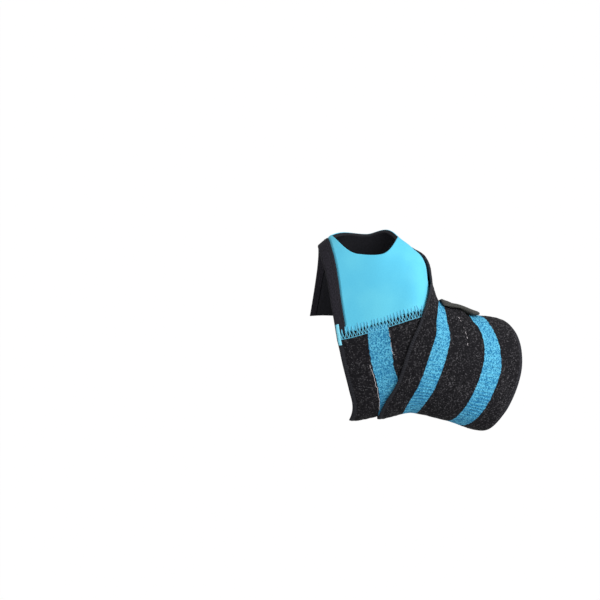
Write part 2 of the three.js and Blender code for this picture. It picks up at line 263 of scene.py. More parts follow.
def base(angle, along, first_below=1, soft=EDGE_SOFT):
    """Height over the former of a turn's underside: the sum of the layers below it, each as far as
    it covers the place, and the rise where the strap bridges the hollow on the thumb side."""
    height = np.zeros(np.broadcast_shapes(np.shape(angle), np.shape(along)))
    for below in range(first_below, 3):
        lower = angle - 360 * below
        past_seam = rise((lower - lookup(SEAM_LINE, along)[0] - STEP_IN) / STEP_SOFT)
        layer = mix(PANEL_THICK, STRAP_THICK, past_seam) + LAYER_GAP
        height = height + cover(lower, along, STRAP_FINISH, soft) * layer
    from_bridge = np.mod(angle - BRIDGE_ANGLE + 180, 360) - 180
    bump = 1 - rise(np.abs(along - BRIDGE_ALONG) / BRIDGE_LONG)
    bump = bump * (1 - rise(np.abs(from_bridge) / BRIDGE_ROUND))
    return height + BRIDGE_RISE * bump


def strap_top(turn, across):
    """Height over the former of the strap's outer face, or of the panel's before the seam."""
    angle, along = strip(turn, across)
    thick = mix(PANEL_THICK, STRAP_THICK, rise((np.asarray(turn) - SEAM + 0.5)))
    return np.where(np.asarray(turn) < SEAM, 0, base(angle, along)) + thick


# ---------------------------------------------------------------- meshes


def make_piece(name, points, faces, uv=None, marks=None, caps=()):
    """A mesh object at the origin from points in millimetres, quads as an array, and end caps."""
    points = points.reshape(-1, 3) * MM
    mesh = bpy.data.meshes.new(name)
    mesh.from_pydata(points.tolist(), [], faces.reshape(-1, 4).tolist() + [list(map(int, c)) for c in caps])
    mesh.polygons.foreach_set("use_smooth", np.ones(len(mesh.polygons), bool))
    if uv is not None:
        corners = np.empty(len(mesh.loops), int)
        mesh.loops.foreach_get("vertex_index", corners)
        layer = mesh.uv_layers.new(name="cloth")
        layer.data.foreach_set("uv", uv.reshape(-1, 2)[corners].ravel() * MM)
    for mark, values in (marks or {}).items():
        mesh.attributes.new(mark, "FLOAT", "POINT").data.foreach_set("value", values.ravel().astype(float))
    mesh.update()
    piece = bpy.data.objects.new(name, mesh)
    bpy.context.scene.collection.objects.link(piece)
    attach(piece, "root")
    return piece


def grid_quads(rows, columns, rows_close=False, columns_close=False):
    """Quads of a grid whose rows and columns may each close into a ring."""
    i, j = np.meshgrid(
        np.arange(rows if rows_close else rows - 1),
        np.arange(columns if columns_close else columns - 1), indexing="ij")
    i2, j2 = (i + 1) % rows, (j + 1) % columns
    return np.stack([i * columns + j, i2 * columns + j, i2 * columns + j2, i * columns + j2], -1)


def end_caps(rows, columns, start=0):
    """The first and the last ring of a grid of closed rings as two faces that point outwards."""
    ring = np.arange(columns)
    return [start + ring, start + (rows - 1) * columns + ring[::-1]]


def path_lengths(points):
    """How far along a path each of its points lies: the running sum of the steps between them."""
    return np.concatenate([[0], np.cumsum(np.linalg.norm(np.diff(points, axis=0), axis=-1))])


def speckle(shape, reach, seed):
    """Seeded noise from -1 to 1 on a grid, smoothed over `reach` cells each way."""
    noise = np.random.default_rng(seed).standard_normal(shape)
    for axis, cells in enumerate(reach):
        kernel = np.hanning(2 * cells + 3)[1:-1]
        noise = np.apply_along_axis(lambda row: np.convolve(row, kernel, mode="same"), axis, noise)
    return np.clip(noise / (2.2 * noise.std()), -1, 1)


# ---------------------------------------------------------------- strap

STRIPE_EDGES = (0.205, 0.345, 0.655, 0.80)
RELAXED_WIDTH = 80.0
RIB_PITCH = 1.9
WORN_WIDTH = 70.0  # mean width of the wound strap, which turns shares across it into millimetres
STRAP_ROWS, FACE_POINTS, LINING_POINTS = 640, 118, 14
STRIPE_STEPS = 160  # how many of the step from black to blue would fit across the strap
TAPER = 0.22  # of the width, cut from each corner of the strap's end
TAPER_FROM, TAPER_OVER = 30.0, 26.0  # degrees before the end where it begins, and over which it comes
FAR_TAPER = 0.9  # the proximal corner's cut, as a share of the distal one's
PULL = {"by": 0.022, "turn": 88.0, "round": 10.0, "across": 0.37, "wide": 0.1}


def strap_places(turn, share):
    """Across the strap, narrowed towards its sewn end on an s-curve."""
    cut = TAPER * rise((turn - STRAP_FINISH + TAPER_FROM) / TAPER_OVER)
    return mix(cut, 1 - cut * FAR_TAPER, share)


def make_strap():
    """A section carried along the strap's course, its points a little closer together towards the
    edges. Its outer face is 1.8 mm up, a sixth less over the last 3 mm and two fifths less at the
    edge itself. It stands 0.1 to 0.2 mm up and down in loops on the black bands and in cross ribs
    on the stripes, and the flat selvedges have neither. Where the seam pulls the cloth, its map
    is drawn towards the first stripe by a bell curve."""
    turns = np.linspace(SEAM, STRAP_FINISH, STRAP_ROWS)[:, None]
    outer = (1 - np.cos(np.linspace(0.1, math.pi - 0.1, FACE_POINTS)) / math.cos(0.1)) / 2
    outer = mix(outer, np.linspace(0, 1, FACE_POINTS), 0.8)
    inner = np.linspace(1, 0, LINING_POINTS)
    share = np.concatenate([outer, inner])[None, :]
    across = strap_places(turns, share)
    angle, along = strip(turns, across)
    from_edge = np.minimum(across, 1 - across) * WORN_WIDTH
    edge = 1 - 0.16 * rise((3.4 - from_edge) / 1.2) - 0.26 * np.exp(-((from_edge / 0.7) ** 2))
    stripe = sum(rise((across - a) * STRIPE_STEPS + 0.5) - rise((across - b) * STRIPE_STEPS + 0.5)
                 for a, b in (STRIPE_EDGES[:2], STRIPE_EDGES[2:]))
    middle, _ = over(*strip(turns, 0.5), 2.0)
    length = path_lengths(middle[:, 0])[:, None]
    size = (len(turns), share.size)
    loops = 0.11 * speckle(size, (1, 1), 3) + 0.07 * speckle(size, (1, 4), 5)
    ribs = 0.07 * np.sin(2 * math.pi * length / RIB_PITCH) * (0.5 + 0.5 * speckle(size, (14, 9), 8))
    ribs = ribs + 0.05 * speckle(size, (1, 1), 11) - 0.06
    relief = mix(loops, ribs, stripe) * rise((from_edge - 2.5) / 1.5)
    rolling = 0.14 * speckle(size, (30, 14), 21) + 0.05 * speckle(size, (2, 12), 23)
    top = STRAP_THICK * edge + relief + rolling * rise(from_edge / 3)
    bottom = 0.30 * STRAP_THICK * np.exp(-((from_edge / 0.7) ** 2))
    is_outer = np.arange(share.size) < len(outer)
    height = base(angle, along) + np.where(is_outer, top, bottom)
    points, _ = over(angle, along, height)
    pull_round, pull_across = (turns - PULL["turn"]) / PULL["round"], (across - PULL["across"]) / PULL["wide"]
    pull = np.exp(-(pull_round**2) - pull_across**2)
    uv = np.stack(np.broadcast_arrays(length, (across - PULL["by"] * pull) * RELAXED_WIDTH), -1)
    faces = grid_quads(*size, columns_close=True)
    piece = make_piece("elastic_strap_cloth", points, faces, uv, caps=end_caps(*size))
    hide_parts("elastic_strap")
    return piece, float(length[-1, 0])


# ---------------------------------------------------------------- seam

STITCH_PITCH = 1.9
FIRST_STITCH = 1.2  # mm from the distal end of the seam
SEAM_ACROSS = np.linspace(0, 1, 241)
SEAM_POINTS = over(*strip(SEAM, SEAM_ACROSS), PANEL_THICK)[0]
SEAM_LENGTHS = path_lengths(SEAM_POINTS)


def seam_place(at, up):
    """Turn and share across of a place `at` mm along the seam and `up` mm from it, square to it,
    on to the panel; a minus sign leads on to the strap."""
    here = SEAM_POINTS
    onward = (over(*strip(SEAM + 0.5, SEAM_ACROSS), PANEL_THICK)[0] - here) / 0.5
    beside = (over(*strip(SEAM, SEAM_ACROSS + 0.004), PANEL_THICK)[0] - here) / 0.004
    slant = (onward * beside).sum(-1) / (beside * beside).sum(-1)
    rate = np.linalg.norm(onward - slant[:, None] * beside, axis=-1)
    across, slant, rate = (np.interp(at, SEAM_LENGTHS, v) for v in (SEAM_ACROSS, slant, rate))
    return SEAM - up / rate, across + slant * up / rate


def nearest_on_seam(points):
    """How far each point is from the seam and how far along the seam its nearest place lies."""
    flat = points.reshape(-1, 3)
    best = np.full(len(flat), np.inf)
    at = np.zeros(len(flat))
    for place, length in zip(SEAM_POINTS[::2], SEAM_LENGTHS[::2]):
        gap = np.linalg.norm(flat - place, axis=-1)
        at = np.where(gap < best, length, at)
        best = np.minimum(gap, best)
    return best.reshape(points.shape[:2]), at.reshape(points.shape[:2])


# ---------------------------------------------------------------- thumb panel


PANEL_INSET = (BINDING_THICK + PART_GAP) / STRIP_WIDTH
END_DRAW_IN = 60.0  # degrees that a line inside the edge keeps from both ends, to a whole width


def panel_outline(least):
    """The panel's edge, or a line inside it: distal side, seam, proximal side and free end, each a
    straight run of places on the strip. A line inside is the edge, clipped to its narrower bounds."""
    inset = PANEL_INSET
    finish = SEAM - JOINT
    sides = [
        (np.linspace(PANEL_START, finish, 200, endpoint=False), np.full(200, inset)),
        (np.full(130, finish), np.linspace(inset, 1, 130, endpoint=False)),
        (np.linspace(finish, PANEL_START, 170, endpoint=False), np.ones(170)),
        (np.full(80, PANEL_START), np.linspace(1, inset, 80, endpoint=False)),
    ]
    turn, across = (np.concatenate([side[k] for side in sides]) for k in (0, 1))
    by = least - inset
    turn = np.clip(turn, PANEL_START + END_DRAW_IN * by, finish - END_DRAW_IN * by)
    across = np.clip(across, least, 1 - by)
    return turn, across


def hole_rim(edge_angle, edge_along):
    """The thumb hole's outline towards each point of the edge: an oval that leans over, scaled out
    by (|cos|^n + |sin|^n)^(-1/n) with its own n in each quarter."""
    towards = np.arctan2(edge_angle - HOLE["angle"], edge_along - HOLE["along"])
    c, s = np.cos(towards), np.sin(towards)
    full = HOLE_FULLNESS
    power = np.where(s > 0, np.where(c > 0, full["palm_proximal"], full["palm_distal"]),
                     np.where(c > 0, full["back_proximal"], full["back_distal"]))
    out = (np.abs(c) ** power + np.abs(s) ** power) ** (-1 / power)
    angle = HOLE["angle"] + out * (HOLE["half_angle"] * s + HOLE["lean"] * c)
    return angle, HOLE["along"] + out * HOLE["half"] * c


def make_panel():
    """Rings of points from the thumb hole out to the edge, over the outer face, round the cut
    edge, back under the inner face and up the hole's cut wall, so the surface closes on itself.
    The mark `cover` is 1 on the blue face and 0 on the black foam and lining."""
    squeezed = BINDING_WIDTH / STRIP_WIDTH
    lines = [panel_outline(least) for least in (squeezed + 0.012, squeezed, PANEL_INSET)]
    places = [strip(*line) for line in lines]
    rim = hole_rim(*places[2])
    thin = (lines[1][1] <= squeezed + 1e-6) * (PANEL_THICK - PANEL_RIM_THICK) / 2

    def ring(share, height, blue):
        """One ring: shares up to 1 run from the rim to the shoulder of the binding."""
        stops = [rim, *places]
        k = min(int(share), 2)
        angle, along = (mix(stops[k][n], stops[k + 1][n], share - k) for n in (0, 1))
        squeeze = thin * min(max(share - 1, 0), 1)
        height = mix(squeeze, PANEL_THICK - squeeze, height)
        return angle, along, height, np.full(angle.shape, blue)

    shares = np.linspace(0, 1, 46) ** 1.15
    rings = [ring(0.0, 0.90, 1.0), ring(0.006, 0.97, 1.0)]
    rings += [ring(s, 1.0, 1.0) for s in shares[1:]]
    rings += [ring(s, 1.0, 1.0) for s in (1.35, 1.7, 2.0, 2.4, 2.8, 2.96)]
    rings += [ring(3.0, h, b) for h, b in ((0.94, 1.0), (0.86, 1.0), (0.84, 0.0), (0.5, 0.0), (0.08, 0.0))]
    rings += [ring(s, 0.0, 0.0) for s in (2.9, 2.5, 2.0, 1.5)]
    rings += [ring(s, 0.0, 0.0) for s in shares[::-3]]
    rings += [ring(0.0, h, b) for h, b in ((0.08, 0.0), (0.3, 0.0), (0.55, 0.0), (0.83, 0.0), (0.86, 1.0))]
    angle, along, height, blue = (np.stack([r[k] for r in rings]) for k in range(4))
    points, _ = over(angle, along, height)
    up, at = nearest_on_seam(points)
    faces = grid_quads(*angle.shape, rows_close=True, columns_close=True)
    piece = make_piece("thumb_panel_cloth", points, faces, marks={"cover": blue, "up": up, "at": at})
    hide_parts("thumb_panel")
    return piece


# ---------------------------------------------------------------- binding


BINDING_SLOT = PANEL_RIM_THICK / 2 + 0.12  # half the room between its two legs
BINDING_OUT = BINDING_SLOT + 0.78  # from the panel's middle to the outside of a leg
BINDING_STITCH, STITCH_DIP = 4.3, 0.16  # the line of stitches: from the fold, and how deep it pulls


def make_binding():
    """A tape folded over the panel's edge: a C-shaped section, rounded at the fold, carried from
    the free end to the seam. It dips in a bell curve where its line of stitches pulls it down."""
    turns = np.linspace(PANEL_START, SEAM - 0.15, 420)[:, None]
    middle, slot, wall = PANEL_THICK / 2, BINDING_SLOT, BINDING_OUT
    fold = np.linspace(-math.pi / 2, math.pi / 2, 13)
    leg = np.linspace(BINDING_WIDTH, 1.1, 12)
    dip = STITCH_DIP * np.exp(-(((leg - BINDING_STITCH) / 0.45) ** 2))
    dip = dip + 0.25 * np.exp(-(((leg - BINDING_WIDTH) / 0.3) ** 2))
    outer = np.concatenate([
        np.stack([leg, -(wall - dip)], 1),
        np.stack([1.0 - 1.0 * np.cos(fold), wall * np.sin(fold)], 1),
        np.stack([leg, wall - dip], 1)[::-1]])
    inner_leg = np.linspace(1.2, BINDING_WIDTH, 6)
    inner = np.concatenate([
        np.stack([inner_leg[::-1], np.full(6, slot)], 1), np.stack([inner_leg, np.full(6, -slot)], 1)])
    section = np.concatenate([outer, inner])
    ripple = 0.03 * speckle((len(turns), len(section)), (2, 1), 31)
    angle, along = strip(turns, section[None, :, 0] / STRIP_WIDTH)
    points, _ = over(angle, along, middle + section[None, :, 1] + ripple)
    at_fold = len(leg) + len(fold) // 2
    lengths, around = path_lengths(points[:, at_fold]), path_lengths(section)
    uv = np.stack(np.broadcast_arrays(lengths[:, None], around[None, :]), -1)
    faces = grid_quads(len(turns), len(section), columns_close=True)
    piece = make_piece("edge_binding_tape", points, faces, uv, caps=end_caps(len(turns), len(section)))
    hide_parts("edge_binding")
    return piece


# ---------------------------------------------------------------- hook tab

TAB_CORNER = 0.16  # of the tab's width, rounded off at each corner
CORNER_TURN = 9.0  # degrees over which the corners are rounded
CURL_TURN = 14.0  # degrees over which the free end rises
TAB_EDGE, TAB_END = 0.5 / 42, 0.5 / 0.7  # how far in its edges are softened: share across, degrees
TAB_THINNING = 3.0 / 42  # share across over which it thins towards its distal edge
TAB_DEGREE, TAB_WIDTH = 0.48, 26.0  # mm to a degree of its length, and mm across
TOP_POINTS, UNDER_POINTS = 60, 20


def tab_edges(turn):
    """The tab's two long edges, drawn in at its end by a quarter circle at each corner."""
    s = np.clip((turn - TAB_FINISH + CORNER_TURN) / CORNER_TURN, 0, 1)
    shrink = TAB_CORNER * (TAB_FAR - TAB_NEAR) * (1 - np.sqrt(1 - s * s))
    return TAB_NEAR + shrink, TAB_FAR - shrink


def tab_lift(turn):
    """The gap under the tab, and the s-curve by which its free end curls up."""
    return TAB_STAND + TAB_RISE * rise((turn - TAB_FINISH + CURL_TURN) / CURL_TURN)


def taut(height):
    """Each row bridged as a stiff strip bridges it: at every place the highest of the straight
    lines between two places of the row, one on either side."""
    count = height.shape[1]
    stops = np.linspace(0, count - 1, 20).astype(int)
    i, j, k = np.meshgrid(stops, stops, np.arange(count), indexing="ij")
    share = np.clip((k - i) / np.maximum(j - i, 1), 0, 1)
    spans = (i <= k) & (k <= j)
    lines = mix(height[:, i], height[:, j], share)
    return np.where(spans, lines, -np.inf).max(axis=(1, 2))


def make_tab():
    """A slab with softened edges: its section narrows over its top and bottom quarter, and it
    thins by two fifths, in a bell curve, over the last 2 mm towards its distal edge. Its outer
    face is pulled straight over the steps below it, and its underside follows them."""
    turns = np.concatenate([
        np.linspace(TAB_START, TAB_FINISH - CORNER_TURN, 90),
        TAB_FINISH - CORNER_TURN + CORNER_TURN * np.sin(np.linspace(0, math.pi / 2, 40)[1:])])[:, None]
    near, far = tab_edges(turns)
    share = np.concatenate([np.linspace(0, 1, TOP_POINTS), np.linspace(1, 0, UNDER_POINTS)])[None, :]
    up = np.concatenate([np.ones(TOP_POINTS), np.zeros(UNDER_POINTS)])[None, :]
    angle, along = strip(turns, mix(near, far, share))
    side = np.minimum(share, 1 - share)
    ends = np.minimum(turns - TAB_START, TAB_FINISH - turns)
    rounding = np.exp(-((side / TAB_EDGE) ** 2)) + np.exp(-((ends / TAB_END) ** 2))
    rounding = np.clip(rounding, 0, 1)
    thick = TAB_THICK * (1 - 0.4 * np.exp(-((share / TAB_THINNING) ** 2)))
    height = mix(0.28 * rounding, 1 - 0.28 * rounding, up) * thick + tab_lift(turns)
    under = base(angle, along, 0)
    under[:, :TOP_POINTS] = taut(under[:, :TOP_POINTS])
    points, _ = over(angle, along, under + height)
    uv = np.stack(np.broadcast_arrays(turns * TAB_DEGREE, share * TAB_WIDTH), -1)
    faces = grid_quads(len(turns), share.size, columns_close=True)
    piece = make_piece("hook_tab_tape", points, faces, uv, caps=end_caps(len(turns), share.size))
    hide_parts("hook_tab")
    return piece


# ---------------------------------------------------------------- threads


def tubes(paths, ups, radius, sides=6):
    """Round threads along paths of points, each ring at cos and sin times the radius along the
    sideways and upward directions. Returns points, quads and closing caps."""
    points, faces, caps, count = [], [], [], 0
    turn = np.linspace(0, 2 * math.pi, sides, endpoint=False)
    for path, up in zip(paths, ups):
        ahead = np.gradient(path, axis=0)
        ahead /= np.linalg.norm(ahead, axis=-1, keepdims=True)
        side = np.cross(ahead, up)
        side /= np.linalg.norm(side, axis=-1, keepdims=True)
        top = np.cross(side, ahead)
        ring = side[:, None] * np.cos(turn)[None, :, None] + top[:, None] * np.sin(turn)[None, :, None]
        points.append((path[:, None] + radius * ring).reshape(-1, 3))
        faces.append(grid_quads(len(path), sides, columns_close=True).reshape(-1, 4) + count)
        caps += end_caps(len(path), sides, count)
        count += len(path) * sides
    return np.concatenate(points), np.concatenate(faces), caps


def make_threads(name, courses, radius, top=strap_top):
    """Threads from courses of (turn, across, lift over the cloth)."""
    paths, ups = [], []
    for turn, across, lift in courses:
        turn, across, lift = np.broadcast_arrays(turn, across, lift)
        path, up = over(*strip(turn, across), top(turn, across) + lift)
        paths.append(path)
        ups.append(up)
    points, faces, caps = tubes(paths, ups, radius)
    piece = make_piece(name, points, faces, caps=caps)
    return piece


SEAM_DOWN, SEAM_UP = 3.0, 3.1  # mm the cover thread reaches on to the strap and on to the panel
TACK_SWAY, TACK_SWAYS = 0.8, 34
STITCH_OUT = 0.78  # share of a running stitch that lies on top of the cloth
BOX_DEGREE, BOX_WIDTH = 0.72, 60.0  # measure of the sewn box, to a degree and to the whole width


def seam_threads():
    """The cover thread: from the strap it slants in to the joint, runs up the panel, turns and
    comes back, once every 1.9 mm. A straight thread runs along its lower ends."""
    knots = np.array([  # pitches along the seam, mm up the panel (minus: down the strap), lift
        (0.00, -SEAM_DOWN, 0.00), (0.20, -1.8, 0.20), (0.36, -0.5, 0.38), (0.42, 0.8, 0.26),
        (0.46, SEAM_UP - 0.4, 0.12), (0.50, SEAM_UP, 0.00), (0.54, SEAM_UP - 0.4, 0.12),
        (0.58, 0.8, 0.26), (0.64, -0.5, 0.38), (0.80, -1.8, 0.20), (1.00, -SEAM_DOWN, 0.00)])
    count = int((SEAM_LENGTHS[-1] - 3) / STITCH_PITCH)
    fine = np.linspace(0, 10, 41)[:-1]
    wave = np.stack([np.interp(fine, np.arange(11), knots[:, c]) for c in range(3)], 1)
    shift = np.repeat(np.arange(count), len(fine))
    wave = np.tile(wave, (count, 1))
    rng = np.random.default_rng(14)
    uneven = np.repeat(rng.normal(0, 0.26, (count, 2)), len(fine), axis=0)
    at = FIRST_STITCH + (wave[:, 0] + shift + 0.4 * uneven[:, 0]) * STITCH_PITCH
    up = wave[:, 1] + uneven[:, 1] * (wave[:, 1] > 0)
    straight = np.linspace(0.4, SEAM_LENGTHS[-1] - 2, 900)
    pull = 0.10 * np.abs(np.sin(math.pi * straight / STITCH_PITCH))
    zigzag = (*seam_place(at, up), wave[:, 2] - 0.1 * (up < 0.2))
    return [zigzag, (*seam_place(straight, -SEAM_DOWN), 0.05 + pull)]


def tack_threads():
    """The bar tack: one thread that runs along the distal edge across the seam and sways 0.8 mm to
    either side, 34 times, on a sine with its tops cut off."""
    s = np.linspace(0, 1, 620)
    sway = TACK_SWAY * np.clip(1.25 * np.sin(2 * math.pi * TACK_SWAYS * s), -1, 1)
    turn = mix(66.0, 77.2, s)
    across = mix(0.019, 0.017, s) + sway / STRIP_WIDTH
    lift = 0.42 - 0.25 * np.abs(sway / TACK_SWAY) ** 3 + 0.2 * (1 - rise((turn - SEAM - 1) / 3))
    return [(turn, across, lift)]


def drawn_threads():
    """Pale threads that lie loose along the edges of a stripe, and in dashes on the second turn."""
    def line(start, finish, low, high, wander, seed):
        """From low to high across, off by up to `wander` mm."""
        t = np.linspace(start, finish, 160)
        across = np.linspace(low, high, 160) + wander * speckle((160,), (7,), seed) / RELAXED_WIDTH
        return t, across, 0.03 + 0.12 * speckle((160,), (2,), seed + 1)
    courses = [line(95, 150, 0.192, 0.205, 0.35, 41), line(73.5, 90, 0.35, 0.374, 0.3, 43)]
    dashes = ((397, 399.2), (401.3, 402.6), (409.5, 412.6), (414.5, 417.2), (419.6, 421.2), (426, 428.4))
    for k, dash in enumerate(dashes):
        courses.append(line(*dash, 0.497 + 0.002 * k, 0.499 + 0.002 * k, 0.1, 50 + 2 * k))
    return courses


def running_stitch(turn, across, length, stitch=2.6):
    """Lifts a line out of the cloth and back in: a row of half sines with short gaps."""
    phase = np.mod(length / stitch, 1)
    arch = 0.16 * np.sin(math.pi * phase / STITCH_OUT)
    return turn, across, np.where(phase < STITCH_OUT, arch, -0.18)


def binding_top(turn, across):
    """Height of the binding's outer face along its line of stitches, the same all along."""
    return np.full(np.shape(turn), PANEL_THICK / 2 + BINDING_OUT - STITCH_DIP)


def tab_top(turn, across):
    """Height of the tab's outer face under its stitches, over layers that fade more softly."""
    angle, along = strip(turn, across)
    return base(angle, along, 0, TAB_SOFT) + tab_lift(turn) + TAB_THICK


def binding_threads():
    """One row of stitches along the binding, at 0.95 mm to a degree of turn."""
    turn = np.linspace(PANEL_START + 1, SEAM - 8, 1500)
    length = (turn - turn[0]) * 0.95
    return [running_stitch(turn, np.full(turn.shape, BINDING_STITCH / STRIP_WIDTH), length)]


def tab_threads():
    """A sewn box with two rows across, where the tab holds the strap's end."""
    near, far = TAB_NEAR + 0.045, TAB_FAR - 0.045
    corners = [(TAB_START + 3, near), (TAB_START + 3, far), (652, far), (652, near), (TAB_START + 3, near),
               (652, far), (652, near), (TAB_START + 3, far)]
    turn, across, length, at = [], [], [], 0.0
    for (t0, a0), (t1, a1) in zip(corners, corners[1:]):
        size = math.hypot((t1 - t0) * BOX_DEGREE, (a1 - a0) * BOX_WIDTH)
        s = np.linspace(0, 1, max(int(size * 6), 8))
        turn.append(mix(t0, t1, s)), across.append(mix(a0, a1, s)), length.append(at + s * size)
        at += size
    return [running_stitch(*(np.concatenate(v) for v in (turn, across, length)))]


# ---------------------------------------------------------------- materials


class Value:
    """A shader socket that can be added, multiplied and so on like a number."""

    def __init__(self, sheet, socket):
        self.sheet, self.socket = sheet, socket

    def _with(self, kind, other, turned=False):
        first, second = (other, self) if turned else (self, other)
        return self.sheet.maths(kind, first, second)

    def __add__(self, other):
        return self._with("ADD", other)

    def __radd__(self, other):
        return self._with("ADD", other, True)

    def __sub__(self, other):
        return self._with("SUBTRACT", other)

    def __rsub__(self, other):
        return self._with("SUBTRACT", other, True)

    def __mul__(self, other):
        return self._with("MULTIPLY", other)

    def __rmul__(self, other):
        return self._with("MULTIPLY", other, True)

    def ramp(self, low, high):
        """0 at low and under, 1 at high and over, smooth between."""
        return self.sheet.node("ShaderNodeMapRange", {"Value": self, "From Min": low, "From Max": high},
                               interpolation_type="SMOOTHSTEP")


SHINE = 0.18  # cloth reflects less than a plain solid, whose level is 0.5


class Finish:
    """One material's node tree, with a short way to add a node and link its inputs."""

    def __init__(self, name, roughness):
        self.material = bpy.data.materials.new(name)
        self.material.use_nodes = True
        self.tree = self.material.node_tree
        self.shader = self.tree.nodes["Principled BSDF"]
        self.shader.inputs["Roughness"].default_value = roughness
        self.shader.inputs["Specular IOR Level"].default_value = SHINE

    def put(self, socket, value):
        """Links a value to a socket, or sets a number or a colour."""
        if isinstance(value, Value):
            self.tree.links.new(value.socket, socket)
        elif isinstance(value, tuple) and len(value) == 3 and socket.type == "RGBA":
            socket.default_value = (*value, 1)
        else:
            socket.default_value = value

    def node(self, kind, inputs=None, output=0, **settings):
        """A node of a kind, with its settings made first and its sockets filled after."""
        made = self.tree.nodes.new(kind)
        for name, value in settings.items():
            setattr(made, name, value)
        for name, value in (inputs or {}).items():
            self.put(made.inputs[name], value)
        return Value(self, made.outputs[output])

    def maths(self, kind, a, b=0.0):
        """A Math node of a kind on one value or two."""
        return self.node("ShaderNodeMath", {0: a, 1: b}, operation=kind)

    def colour(self, share, a, b):
        """Colour a where share is 0, b where it is 1."""
        return self.node("ShaderNodeMix", {0: share, 6: a, 7: b}, output=2, data_type="RGBA")

    def noise(self, place, scale, detail=2.0, roughness=0.5):
        """Cloudy noise about 0.5, whose clouds are about 1 / scale metres wide."""
        return self.node("ShaderNodeTexNoise", {"Vector": place, "Scale": scale, "Detail": detail,
                                                "Roughness": roughness})

    def cells(self, place, scale):
        """Patches, each with a brightness of its own."""
        return self.node("ShaderNodeTexVoronoi", {"Vector": place, "Scale": scale}, output=1)

    def cloth(self):
        """The piece's own map, and from it the metres along the piece and across it."""
        uv = self.node("ShaderNodeUVMap", uv_map="cloth")
        along = self.node("ShaderNodeSeparateXYZ", {0: uv})
        return uv, along, Value(self, along.socket.node.outputs[1])

    def vector(self, x, y):
        """A place from two values."""
        return self.node("ShaderNodeCombineXYZ", {0: x, 1: y})

    def place(self):
        """The place on the piece, in metres."""
        return self.node("ShaderNodeTexCoord", output="Object")

    def height(self):
        """Metres up from the middle of the wrap."""
        return Value(self, self.node("ShaderNodeSeparateXYZ", {0: self.place()}).socket.node.outputs[2])

    def mark(self, name):
        """A number that the mesh carries at each of its points."""
        return self.node("ShaderNodeAttribute", output="Fac", attribute_name=name)

    def surface(self, colour, bump=None, height=0.0001, strength=1.0):
        """The finished material: its colour, and a relief `height` metres deep if there is one."""
        self.put(self.shader.inputs["Base Color"], colour)
        if bump is not None:
            normal = self.node("ShaderNodeBump", {"Height": bump, "Distance": height, "Strength": strength})
            self.put(self.shader.inputs["Normal"], normal)
        return self.material


def shade(red, green, blue):
    """An sRGB colour out of 255 as linear light."""
    c = np.array([red, green, blue]) / 255
    return tuple(np.where(c <= 0.04045, c / 12.92, ((c + 0.055) / 1.055) ** 2.4).tolist())


def between(at, low, high, soft):
    """1 from low to high, with a ramp twice `soft` wide at each."""
    return at.ramp(low - soft, low + soft) * (1 - at.ramp(high - soft, high + soft))


def strap_finish():
    """Black looped pile with light-grey flecks, two blue ribbed stripes, plain woven edges."""
    f = Finish("black elastic with blue stripes", 0.88)
    uv, along, across = f.cloth()
    width = RELAXED_WIDTH * MM
    wander = (f.noise(uv, 420.0, 3.0) - 0.5) * 0.0014
    low1, high1, low2, high2 = (e * width for e in STRIPE_EDGES)
    at = across + wander
    stripe = between(at, low1, high1, 0.00022) + between(at, low2, high2, 0.00022)
    selvedge = 1 - between(across, 0.0027, width - 0.0022, 0.00045)
    wide = f.vector(along, across * 0.34)
    place = f.place()
    fine = f.noise(place, 1350.0, 2.0, 0.65)
    loops = f.cells(place, 1750.0)
    streak = f.noise(wide, 1100.0, 2.0, 0.5)
    cloud = f.noise(place, 75.0, 3.0, 0.6)
    fleck = loops.ramp(0.60, 0.92) * 0.6
    dark = f.colour(fleck, shade(22, 21, 25), shade(106, 104, 108))
    dark = f.colour(streak.ramp(0.52, 0.64) * 0.9, dark, shade(11, 10, 14))
    dark = f.colour(cloud.ramp(0.35, 0.7) * 0.4, dark, shade(20, 18, 23))
    ribs = f.maths("SINE", (along + (f.noise(wide, 240.0) - 0.5) * 0.0022) * (2 * math.pi / (RIB_PITCH * MM)))
    blue = f.colour((loops * 0.6 + fine * 0.4).ramp(0.32, 0.66), shade(36, 120, 168), shade(102, 196, 230))
    # Painted shade: darker bars in the grooves between the cross ribs of the stripes, laid on only towards
    # the bottom of the wrap.
    low = 1 - f.height().ramp(-0.022, 0.004)
    blue = f.colour((0.5 - ribs * 0.5) * cloud.ramp(0.38, 0.62) * low * 0.85, blue, shade(34, 116, 168))
    blue = f.colour(streak.ramp(0.58, 0.70) * 0.45, blue, shade(40, 112, 160))
    woven = f.maths("SINE", along * (2 * math.pi / 0.0009))
    plain = f.colour((woven * 0.2 + fine).ramp(0.3, 0.8), shade(34, 34, 38), shade(52, 52, 58))
    colour = f.colour(stripe, dark, blue)
    colour = f.colour(selvedge, colour, plain)
    rough = (fine + streak + ribs * 0.25 * stripe) * (1 - selvedge)
    return f.surface(colour, rough + selvedge * (woven * 0.08 + 0.9), 0.0005, 0.8)


